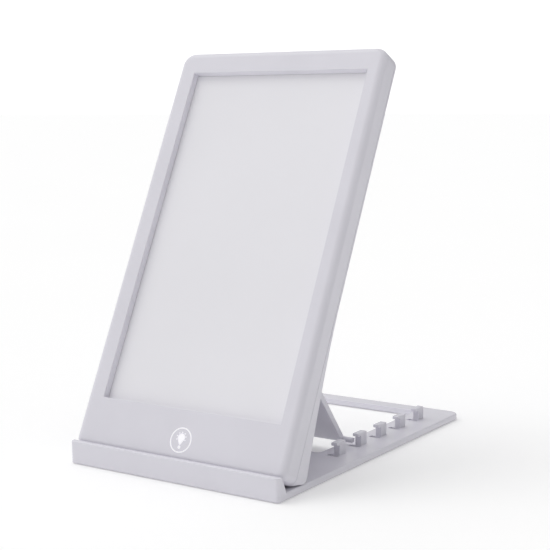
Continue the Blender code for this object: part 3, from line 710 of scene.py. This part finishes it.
def base_cutters(fronts):
    """The window, the slots under the hooks' caps, the pin bores and the seats of the feet."""
    def window(grow):
        return rounded_outline(
            (-WINDOW_HALF_WIDTH, WINDOW_FRONT), (WINDOW_HALF_WIDTH, WINDOW_REAR), WINDOW_CORNER, grow
        )

    cutters = [flared_hole(window, BASE_LOW.z, PLATE_TOP, WINDOW_ROUNDING)]
    for side, hand in ((-1, "left"), (1, "right")):
        near, far = sorted((side * SLOT_INNER, side * (HOOK_OUTER + GAP)))
        for front in fronts:
            def slot(grow, front=front, near=near, far=far):
                return rounded_outline(
                    (near, front - HOOK_CAP_REACH - SLOT_FRONT_ROOM), (far, front - SLOT_REAR_ROOM),
                    SLOT_CORNER, grow, 3,
                )
            cutters.append(flared_hole(slot, BASE_LOW.z, PLATE_TOP, SLOT_ROUNDING, 2))
        cutters.append(rounded_rod(
            -LUG_BORE_HALF, LUG_BORE_HALF, PIN_BORE, 0.2 * MM,
            (side * LUG_X, TILT_HINGE.y, TILT_HINGE.z), "X",
        ))
        for where in ("front", "rear"):
            low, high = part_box(f"rubber_foot_{where}_{hand}")
            radius = (high.x - low.x) / 2 + GAP
            cutters.append(turned(
                [(-3 * MM, radius), (high.z + GAP, radius)], foot_middle(low, high), "Z", 48,
            ))
    return cutters


def base_frame():
    profile = base_profile()
    stations = [y for y, _ in profile[:-1]] + [BASE_FRONT + s * MM for s in BASE_STATIONS]
    rows = slab_rows(
        BASE_HIGH.x, BASE_FRONT, BASE_HIGH.y, FRONT_CORNER, REAR_CORNER, stations, 10
    )

    def rounding(y):
        return between([(BASE_FRONT + 5 * MM, LIP_ROUNDING), (BASE_FRONT + 9 * MM, PLATE_ROUNDING)], y)

    obj = new_object("base_frame_skin", slab(
        rows, BASE_LOW.z, lambda y: between(profile, y), rounding, BASE_LOWER_EDGE,
    ))
    fronts = [HOOK_FIRST + HOOK_PITCH * i for i in range(HOOK_COUNT)]
    hooks = [hook(side, front) for side in (-1, 1) for front in fronts]
    join(obj, *hooks, *[base_lug(side) for side in (-1, 1)])
    cut(obj, *base_cutters(fronts))
    finish_piece(obj, "base", "lilac_base", replaces=["base_frame"])


def rubber_feet():
    for hand in ("left", "right"):
        for where in ("front", "rear"):
            node = f"rubber_foot_{where}_{hand}"
            low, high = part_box(node)
            radius = (high.x - low.x) / 2
            dish = [(0.25 * MM, 0.2 * MM), (0.22 * MM, radius * 0.6), (0.0, radius * 0.72)]
            rim = [(low.z + down, radius - inward) for inward, down in quarter(0.4 * MM, 4)][::-1]
            top = [(high.z - 0.1 * MM, radius), (high.z, radius - 0.1 * MM), (high.z, 0.2 * MM)]
            solid = turned(dish + rim + top, foot_middle(low, high), "Z", 48)
            finish_piece(new_object(f"{node}_pad", solid), "base", "rubber", replaces=[node])


# ---------------------------------------------------------------- panel shells


def panel_ring(inset):
    return rounded_outline(
        (-PANEL_HALF, PANEL_BOTTOM), (PANEL_HALF, PANEL_TOP), PANEL_LOW_CORNER, -inset, 14,
        PANEL_HIGH_CORNER,
    )


def screen_ring(grow):
    return rounded_outline(
        (SCREEN_LEFT, SCREEN_BOTTOM), (SCREEN_RIGHT, SCREEN_TOP), SCREEN_CORNER, grow, 14
    )


def screw_places():
    for row, y in enumerate(SCREW_ROWS, 1):
        yield f"left_{row}", -SCREW_X, y
        yield f"right_{row}", SCREW_X, y


def front_shell():
    """The bezel as one loft: side wall, rounded edge, face, screen recess and the inside."""
    outer = [
        (PARTING_BEVEL, PARTING_FRONT), (0, PARTING_FRONT + PARTING_BEVEL), (0, SIDE_WALL_MIDDLE),
    ]
    outer += [(inward, FACE - down) for inward, down in quarter(FACE_ROUNDING, 14)]
    outer += [(FACE_ROUNDING + FACE_MARGIN, FACE)]
    recess = [(SCREEN_EDGE + SCREEN_MARGIN, FACE), (SCREEN_EDGE, FACE)]
    recess += [(inward, FACE - down) for inward, down in list(quarter(SCREEN_EDGE, 4))[-2::-1]]
    recess += [(-SCREEN_DRAFT, SCREEN_INNER)]
    inner_rounding = FACE_ROUNDING - SIDE_WALL
    inner = [
        (SIDE_WALL + inward, SCREEN_INNER - down) for inward, down in quarter(inner_rounding, 6)
    ][::-1]
    inner += [(SIDE_WALL, PARTING_FRONT)]
    rings = levels(panel_ring, outer)
    rings += levels(screen_ring, recess)
    rings += levels(panel_ring, inner)
    obj = new_object("front_shell_skin", loft(rings, closed=True))
    cut(obj, block(
        (-CHIN_CAVITY_HALF, CHIN_CAVITY_LOW, SCREEN_INNER - 1 * MM),
        (CHIN_CAVITY_HALF, CHIN_CAVITY_HIGH, CHIN_INNER),
    ))

    boss = [(PARTING_FRONT + 0.05 * MM, BOSS_RADIUS), (SCREEN_INNER + OVERLAP, BOSS_RADIUS)]
    posts = [turned(boss, (x, y, 0), "Z") for _, x, y in screw_places()]
    board_low, board_high = local_box("control_board", PANEL)
    post = [(board_high.z + GAP, BOARD_POST_RADIUS), (CHIN_INNER + OVERLAP, BOARD_POST_RADIUS)]
    for share in BOARD_POST_SHARES:
        x = board_low.x + share * (board_high.x - board_low.x)
        posts.append(turned(post, (x, TOUCH_Y, 0), "Z"))
    join(obj, *posts)
    low, high = local_box("charging_socket", PANEL)
    port = rounded_outline((low.y, low.z), (high.y, high.z), SOCKET_CORNER, GAP, 6)
    bore = [(PARTING_FRONT - 2 * MM, SCREW_BORE), (SCREW_BORE_TOP, SCREW_BORE)]
    bores = [turned(bore, (x, y, 0), "Z", 16) for _, x, y in screw_places()]
    cut(obj, prism(port, -PANEL_HALF - 1 * MM, -PANEL_HALF + SIDE_WALL + 1 * MM, "X"), *bores)
    finish_piece(obj, "panel", "lilac_plastic", PANEL, ["front_shell"])


def back(y):
    """The panel's back: a slope under the parting line, a barrel round the tilt axis, a belly."""
    if y <= -BARREL:
        slope = TOE_RISE / (-BARREL - PANEL_BOTTOM)
        return -(y + BARREL) * slope
    if y <= BARREL_END:
        return -math.sqrt(max(BARREL ** 2 - y ** 2, 0))
    return PANEL_BACK - (PANEL_BACK + BARREL) * max(0.0, 1 - y / BELLY_END) ** BELLY_CURVE


def back_profile(wall, start, end, steps=24):
    rise = [start + (end - start) * i / steps for i in range(steps + 1)]
    return [(y, back(y) + wall) for y in rise]


def belly_cavity():
    """The belly's inside, which leaves a solid block round each tilt pin."""
    over = PARTING_REAR + 1 * MM
    inner_barrel = BARREL - BELLY_WALL
    outline = [
        (-inner_barrel, over), *arc((0, 0), inner_barrel, 180, 275, 10),
        *back_profile(BELLY_WALL, 3 * MM, BELLY_CAVITY_END), (BELLY_CAVITY_END, over),
    ]
    cavity = new_object("belly_cavity", prism(outline, -BELLY_CAVITY_X, BELLY_CAVITY_X, "X"))
    cut(cavity, *[block(
        (side * LUG_X - HINGE_BLOCK_HALF, PANEL_BOTTOM, -BARREL),
        (side * LUG_X + HINGE_BLOCK_HALF, BELLY_CAVITY_START, over + 1 * MM),
    ) for side in (-1, 1)])
    hollow = bmesh.new()
    hollow.from_mesh(cavity.data)
    bpy.data.meshes.remove(cavity.data)
    return hollow


def prop_lugs_and_ribs():
    """The lugs that carry the prop's pins, and the ribs that hold the reflector up."""
    lug_foot = PANEL_BACK + OVERLAP
    y, z = PROP_HINGE_LOCAL.y, PROP_HINGE_LOCAL.z
    outline = [
        (y + PROP_LUG_RADIUS, lug_foot), (y - PROP_LUG_RADIUS, lug_foot),
        *arc((y, z), PROP_LUG_RADIUS, 180, 360, 20),
    ]
    solids = []
    for x in (-PROP_LUG_X, PROP_LUG_X):
        solids.append(prism(
            outline, x - PROP_LUG_WIDTH / 2, x + PROP_LUG_WIDTH / 2, "X", soften=0.35 * MM,
        ))
    reflector_low, _ = local_box("reflector", PANEL)
    for x in RIB_X:
        solids.append(block(
            (x - RIB_HALF_THICKNESS, RIB_LOW, PANEL_BACK + 1 * MM),
            (x + RIB_HALF_THICKNESS, RIB_HIGH, reflector_low.z - GAP),
        ))
    return solids


def rear_bores():
    """The bores of the tilt pins, the prop pins and the screws with their sunk heads."""
    cutters = []
    for side in (-1, 1):
        for half, place in (
            (BLOCK_BORE_HALF, (side * BLOCK_BORE_X, 0, 0)),
            (PROP_LUG_BORE_HALF, (side * PROP_LUG_X, PROP_HINGE_LOCAL.y, PROP_HINGE_LOCAL.z)),
        ):
            cutters.append(turned([(-half, PIN_BORE), (half, PIN_BORE)], place, "X"))
    seat, chamfer = SCREW_HEAD + GAP, SCREW_SEAT_CHAMFER
    for _, x, y in screw_places():
        rim = back(y)
        cutters.append(turned(
            [
                (rim - 1 * MM, seat + chamfer), (rim + 0.01 * MM, seat + chamfer),
                (rim + chamfer, seat), (SCREW_SEAT, seat), (SCREW_SEAT, SCREW_BORE),
                (SCREW_SEAT + 3 * MM, SCREW_BORE),
            ],
            (x, y, 0), "Z",
        ))
    return cutters


def rear_shell():
    rows = slab_rows(
        PANEL_HALF, PANEL_BOTTOM, PANEL_TOP, PANEL_LOW_CORNER, PANEL_HIGH_CORNER,
        [s * MM for s in BACK_STATIONS], 20,
    )

    def rounding(y):
        return between([(-BARREL, TOE_ROUNDING), (12 * MM, BACK_ROUNDING)], y)

    obj = new_object("rear_shell_skin", slab(
        rows, PARTING_REAR, back, rounding, PARTING_BEVEL, up=-1,
    ))
    cut(obj, belly_cavity())
    join(obj, *prop_lugs_and_ribs())
    cut(obj, *[block(
        (side * LUG_X - NOTCH_WIDTH / 2, PANEL_BOTTOM - 1 * MM, -BARREL - 1 * MM),
        (side * LUG_X + NOTCH_WIDTH / 2, NOTCH_REACH, NOTCH_REACH), soften=0.3 * MM,
    ) for side in (-1, 1)])
    cut(obj, *rear_bores())
    finish_piece(obj, "panel", "lilac_plastic", PANEL, ["rear_shell"])


def print_piece(name, solid, node):
    finish_piece(new_object(name, solid), "panel", "print_white", PANEL, [node])


def touch_print():
    """The touch key's print: a ring, a lamp bulb with rays round it, and the bulb's cap."""
    low, high = FACE - PRINT_DEPTH, FACE + PRINT_PROUD
    edge = PRINT_EDGE
    outer, inner = RING_RADIUS, RING_RADIUS - RING_LINE
    section = [
        (outer, low), (outer, high - edge), (outer - edge, high),
        (inner + edge, high), (inner, high - edge), (inner, low),
    ]
    rings = [
        [(x, y, z) for x, y in arc((TOUCH_X, TOUCH_Y), radius, 0, 360 - 360 / 96, 95)]
        for radius, z in section
    ]
    print_piece("touch_ring_print", loft(rings, closed=True), "touch_ring")

    bulb_y = TOUCH_Y + BULB_RISE
    bulb = prism(
        [
            *arc((TOUCH_X, bulb_y), BULB_RADIUS, -30, 210, 36),
            *arc((TOUCH_X, TOUCH_Y - NECK_DROP), BULB_NECK, 210, 330, 8),
        ],
        low, high, soften=edge, segments=1,
    )
    rays = []
    for i in range(RAY_COUNT):
        turn = math.radians(RAY_START + RAY_SPAN * i / (RAY_COUNT - 1))
        middle = (TOUCH_X + RAY_RADIUS * math.cos(turn), bulb_y + RAY_RADIUS * math.sin(turn))
        rays.append(prism(arc(middle, RAY_DOT, 0, 345, 23), low, high, soften=edge, segments=1))
    print_piece("touch_bulb_print", several([bulb, *rays]), "touch_bulb")
    cap = arc((TOUCH_X, TOUCH_Y - CAP_DROP), BULB_CAP, 0, 350, 35)
    print_piece("touch_cap_print", prism(cap, low, high, soften=edge, segments=1), "touch_bulb_cap")


def shell_screws():
    """Pan-head screws with a cross recess, heads towards the back."""
    for ending, x, y in screw_places():
        low, high = local_box(f"shell_screw_{ending}", PANEL)
        profile = [
            (low.z, 0.9 * MM), (low.z + 0.05 * MM, 1.35 * MM),
            (low.z + 0.22 * MM, SCREW_HEAD - 0.15 * MM), (low.z + 0.45 * MM, SCREW_HEAD),
            (low.z + SCREW_HEAD_HEIGHT, SCREW_HEAD),
        ]
        start = low.z + SCREW_HEAD_HEIGHT
        for i in range(int((high.z - start) / SCREW_PITCH)):
            root = start + SCREW_PITCH * i + 0.02 * MM
            profile += [(root, SCREW_ROOT), (start + SCREW_PITCH * (i + 0.5), SCREW_SHAFT)]
        profile += [(high.z, 0.6 * MM)]
        obj = new_object(f"screw_{ending}", turned(profile, (x, y, 0), "Z"))
        for a, b in ((CROSS_REACH, CROSS_HALF_WIDTH), (CROSS_HALF_WIDTH, CROSS_REACH)):
            cut(obj, block((x - a, y - b, low.z - 1 * MM), (x + a, y + b, low.z + CROSS_DEPTH)))
        finish_piece(obj, "panel", "steel", PANEL, [f"shell_screw_{ending}"])


def hinge_pins():
    for kind in ("tilt_pin", "prop_pin"):
        for hand in ("left", "right"):
            node = f"{kind}_{hand}"
            low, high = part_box(node)
            middle = (low + high) / 2
            solid = rounded_rod(
                low.x - middle.x, high.x - middle.x, (high.z - low.z) / 2, 0.3 * MM, middle, "X", 40,
            )
            finish_piece(new_object(f"{node}_rod", solid), "panel", "steel", replaces=[node])


def charging_socket():
    """A folded metal shell with rounded corners and a contact tongue inside."""
    low, high = local_box("charging_socket", PANEL)

    def section(grow):
        return rounded_outline((low.y, low.z), (high.y, high.z), SOCKET_CORNER, grow, 8)

    shell = prism(section(0), low.x, high.x, "X", soften=0.08 * MM, segments=2)
    obj = new_object("charging_socket_shell", shell)
    cut(obj, prism(section(-SOCKET_WALL), low.x - 1 * MM, high.x - 1.1 * MM, "X"))
    middle = (low.z + high.z) / 2
    join(obj, block(
        (low.x + 0.8 * MM, low.y + TONGUE_INSET, middle - TONGUE_HALF_THICKNESS),
        (high.x - 0.5 * MM, high.y - TONGUE_INSET, middle + TONGUE_HALF_THICKNESS),
        soften=0.12 * MM, segments=2,
    ))
    finish_piece(obj, "panel", "steel", PANEL, ["charging_socket"])


# ---------------------------------------------------------------- prop


def prop():
    half = PROP_THICKNESS / 2
    outline = [
        (-PROP_HALF_WIDTH, 0), (PROP_HALF_WIDTH, 0),
        (PROP_HALF_WIDTH, PROP_LENGTH), (-PROP_HALF_WIDTH, PROP_LENGTH),
    ]
    obj = new_object("prop_skin", prism(outline, -half, half, soften=0.5 * MM, segments=4))
    pane = (2 * PROP_HALF_WIDTH - PANE_BORDER) / PANE_COUNT
    pockets = []
    for number in range(PANE_COUNT):
        start = -PROP_HALF_WIDTH + PANE_BORDER + number * pane

        def pocket(grow, start=start):
            return rounded_outline(
                (start, PANE_BORDER), (start + pane - PANE_BORDER, PROP_LENGTH - PANE_BORDER),
                PANE_CORNER, grow, 6,
            )

        floor = -half + PANE_WEB
        rim = PANE_RIM_ROUNDING
        steps = [(-inward, floor + down) for inward, down in quarter(PANE_FLOOR_ROUNDING, 4)][::-1]
        steps += [(inward, half - down) for inward, down in quarter(rim, 4)][:-1]
        steps += [(rim, half + 0.01 * MM), (rim, half + 1 * MM)]
        pockets.append(loft(levels(pocket, steps)))
    cut(obj, *pockets)
    join(
        obj,
        rounded_rod(-PROP_HALF_WIDTH, PROP_HALF_WIDTH, PROP_BARREL, 0.3 * MM, (0, 0, 0), "X", 40),
        rounded_rod(
            -FOOT_BAR_HALF, FOOT_BAR_HALF, FOOT_BAR_RADIUS, 0.5 * MM, (0, PROP_LENGTH, 0), "X", 40,
        ),
    )
    cut(obj, *[turned(
        [(-PIN_DEPTH, PIN_BORE), (PIN_DEPTH, PIN_BORE)], (side * PROP_HALF_WIDTH, 0, 0), "X",
    ) for side in (-1, 1)])
    finish_piece(obj, "prop", "lilac_plastic", PROP, ["prop"])


def paint_glow_on_touch_print():
    """Paints a faint glow into the touch key's print: painted light that makes the print look brighter, though no
    lamp lights it.
    """
    shader = LOOKS["print_white"].node_tree.nodes["Principled BSDF"]
    shader.inputs["Emission Color"].default_value = (0.95, 0.93, 1.0, 1)
    shader.inputs["Emission Strength"].default_value = PRINT_PAINTED_GLOW


def carried_over():
    """CAD nodes that stay take their material here."""
    looks = {
        "diffuser": "opal_acrylic", "light_guide": "clear_acrylic", "reflector": "white_film",
        "led_strip": "board_white", "control_board": "board_green", "touch_sensor": "copper",
        "battery": "cell_foil", "battery_wire_red": "wire_red", "battery_wire_black": "wire_black",
        "led_wire_red": "wire_red", "led_wire_black": "wire_black",
    }
    for name, look in looks.items():
        node = frame["nodes"][name]
        node.data.materials.clear()
        node.data.materials.append(LOOKS[look])


# ---------------------------------------------------------------- studio


def camera():
    yaw, pitch = CAMERA_YAW, CAMERA_PITCH
    level = math.cos(pitch)
    ahead = Vector((-math.sin(yaw) * level, math.cos(yaw) * level, -math.sin(pitch)))
    right = Vector((math.cos(yaw), math.sin(yaw), 0))
    up = right.cross(ahead)
    across = math.cos(CAMERA_ROLL) * right + math.sin(CAMERA_ROLL) * up
    upward = -math.sin(CAMERA_ROLL) * right + math.cos(CAMERA_ROLL) * up
    turn = Matrix((across, upward, -ahead)).transposed().to_4x4()
    data = bpy.data.cameras.new("camera")
    data.lens = CAMERA_LENS
    data.sensor_width = SENSOR_WIDTH
    data.clip_end = CAMERA_REACH
    obj = bpy.data.objects.new("camera", data)
    obj.matrix_world = Matrix.Translation(CAMERA_PLACE) @ turn
    bpy.context.scene.collection.objects.link(obj)
    bpy.context.scene.camera = obj


def sun(name, towards, strength, softness):
    """A far light that shines the same on the whole floor, from the direction given."""
    data = bpy.data.lights.new(name, "SUN")
    data.energy = strength
    data.angle = math.radians(softness)
    obj = bpy.data.objects.new(name, data)
    obj.rotation_euler = Vector(towards).to_track_quat("Z", "Y").to_euler()
    bpy.context.scene.collection.objects.link(obj)


def studio():
    """A white room: a pale floor, an even white surround, and one soft light up to the left."""
    world = bpy.data.worlds.new("studio")
    world.use_nodes = True
    tree = world.node_tree
    surround = tree.nodes["Background"]
    surround.inputs["Color"].default_value = (1, 1, 1, 1)
    place = tree.nodes.new("ShaderNodeTexCoord")
    total = None
    for lobe in SURROUND_LOBES:
        facing = node_of(tree, "ShaderNodeVectorMath", operation="DOT_PRODUCT")
        facing.inputs[1].default_value = lobe
        bright = node_of(tree, "ShaderNodeMath", operation="MAXIMUM")
        bright.inputs[1].default_value = 0
        tree.links.new(place.outputs["Generated"], facing.inputs[0])
        tree.links.new(facing.outputs["Value"], bright.inputs[0])
        if total is None:
            total = bright
        else:
            both = node_of(tree, "ShaderNodeMath", operation="ADD")
            tree.links.new(total.outputs["Value"], both.inputs[0])
            tree.links.new(bright.outputs["Value"], both.inputs[1])
            total = both
    tree.links.new(total.outputs["Value"], surround.inputs["Strength"])
    seen = tree.nodes.new("ShaderNodeBackground")
    seen.inputs["Color"].default_value = (1, 1, 1, 1)
    seen.inputs["Strength"].default_value = BACKDROP_WHITE
    path = tree.nodes.new("ShaderNodeLightPath")
    mix = tree.nodes.new("ShaderNodeMixShader")
    output = tree.nodes["World Output"]
    tree.links.new(path.outputs["Is Camera Ray"], mix.inputs["Fac"])
    tree.links.new(surround.outputs["Background"], mix.inputs[1])
    tree.links.new(seen.outputs["Background"], mix.inputs[2])
    tree.links.new(mix.outputs["Shader"], output.inputs["Surface"])
    bpy.context.scene.world = world

    sun("softbox", SUN_FROM, SUN_STRENGTH, SUN_SOFTNESS)

    solid = bmesh.new()
    bmesh.ops.create_grid(solid, x_segments=1, y_segments=1, size=FLOOR_SIZE)
    floor = new_object("floor", solid)
    paper = surface(
        "floor_paper", (FLOOR_WHITE,) * 3, 0.9, cloud=(3, 0.003), bump=(900, 0.02, 0.02 * MM),
    )
    shader = paper.node_tree.nodes["Principled BSDF"]
    shader.inputs["Specular IOR Level"].default_value = 0
    shader.inputs["Emission Color"].default_value = (1, 1, 1, 1)
    shader.inputs["Emission Strength"].default_value = FLOOR_GLOW
    floor.data.materials.append(paper)

    view = bpy.context.scene.view_settings
    view.view_transform = "Standard"
    view.look = "None"


# ---------------------------------------------------------------- main


def main():
    camera()
    studio()
    base_frame()
    rubber_feet()
    front_shell()
    rear_shell()
    touch_print()
    # Painted glow on the touch key's print, which has no lamp behind it
    paint_glow_on_touch_print()
    shell_screws()
    hinge_pins()
    charging_socket()
    prop()
    carried_over()


main()
